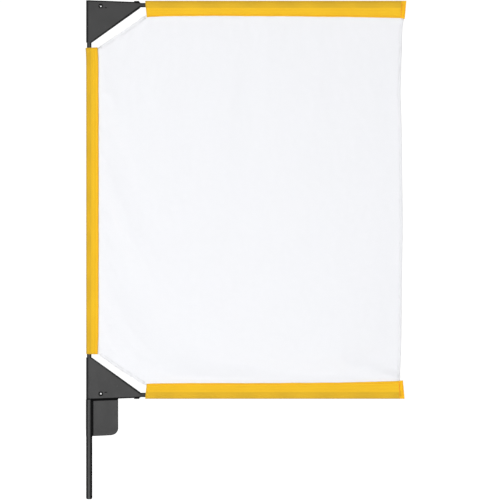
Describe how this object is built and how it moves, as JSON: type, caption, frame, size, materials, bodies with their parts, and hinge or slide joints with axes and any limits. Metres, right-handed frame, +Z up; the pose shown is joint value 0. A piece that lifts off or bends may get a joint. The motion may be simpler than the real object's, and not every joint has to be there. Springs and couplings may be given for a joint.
{
  "type": "folding diffusion frame",
  "caption": "Folding open-ended frame with a grip pin and hinged arms, holding a white diffusion cloth in taped sleeves.",
  "frame": {"origin": "on the grip pin's axis, halfway along the plain length that a grip head clamps", "axes": "+Z up the pin and the main rod, +X out along the open arms, Y across the cloth"},
  "size_m": [0.4898, 0.0116, 0.764],
  "materials": {
    "coated_steel": "satin black powder coat",
    "bare_steel": "dull plated steel",
    "fibre": "brown pressed fibre",
    "gold_tape": "ribbed woven tape, golden yellow",
    "fastening": "off-white hook and loop strip",
    "white_cloth": "thin white translucent diffusion cloth"
  },
  "bodies": {
    "frame": {"main_rod": "coated_steel", "grip_pin": "coated_steel", "paddle": "coated_steel", "paddle_welds": "coated_steel", "lower_gusset": "coated_steel", "upper_gusset": "coated_steel", "lower_rivet": "coated_steel", "upper_rivet": "coated_steel", "lower_friction_washer": "fibre", "upper_friction_washer": "fibre", "lower_spring_washer": "bare_steel", "upper_spring_washer": "bare_steel", "rod_sleeve": "gold_tape", "hook_strip": "fastening", "loop_strip": "fastening", "cloth_panel": "white_cloth", "lower_hem": "white_cloth", "upper_hem": "white_cloth", "free_hem": "white_cloth"},
    "lower_arm": {"lower_arm": "coated_steel", "lower_sleeve": "gold_tape"},
    "upper_arm": {"upper_arm": "coated_steel", "upper_sleeve": "gold_tape"}
  },
  "joints": [
    {"name": "upper_fold", "type": "hinge", "parent": "frame", "child": "upper_arm", "pos_m": [0.018, 0, 0.7062], "axis": [0, 1, 0], "range_deg": [0, 90], "deforming": ["cloth_panel", "upper_sleeve", "upper_hem", "free_hem"]},
    {"name": "lower_fold", "type": "hinge", "parent": "frame", "child": "lower_arm", "pos_m": [0.018, 0, 0.1126], "axis": [0, -1, 0], "range_deg": [0, 84.5], "deforming": ["lower_sleeve", "lower_hem"]}
  ]
}
